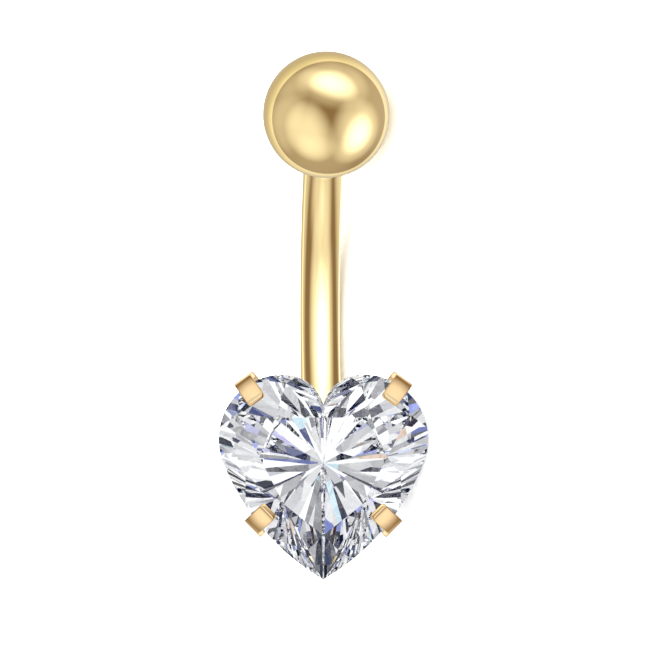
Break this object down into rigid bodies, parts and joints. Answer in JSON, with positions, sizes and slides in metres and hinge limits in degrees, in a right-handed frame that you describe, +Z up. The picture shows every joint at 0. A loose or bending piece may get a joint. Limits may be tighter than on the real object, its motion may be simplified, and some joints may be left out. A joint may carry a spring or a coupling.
{
  "type": "navel ring with heart stone",
  "caption": "Curved barbell for a navel piercing, with a screw-on ball above and a heart-cut clear stone in a prong setting below.",
  "frame": {"origin": "middle of the object's base, on the surface that it lies on, halfway along its length and its breadth", "axes": "+X along the ring's length, from the heart towards the ball; +Z up from the surface; the stone's table faces -Y and about 31 degrees upwards"},
  "size_m": [0.0208, 0.0082, 0.007],
  "materials": {
    "yellow_gold": "mirror polished gold plate",
    "setting_gold": "bright gold plate",
    "clear_stone": "polished facets"
  },
  "bodies": {
    "barbell": {"bar_and_setting": "yellow_gold", "heart_stone": "clear_stone"},
    "ball": {"top_ball": "yellow_gold"}
  },
  "joints": [
    {"name": "ball_unscrew", "type": "slide", "parent": "barbell", "child": "ball", "axis": [0.8358, -0.4759, 0.2738], "range_m": [0, 0.003]}
  ]
}
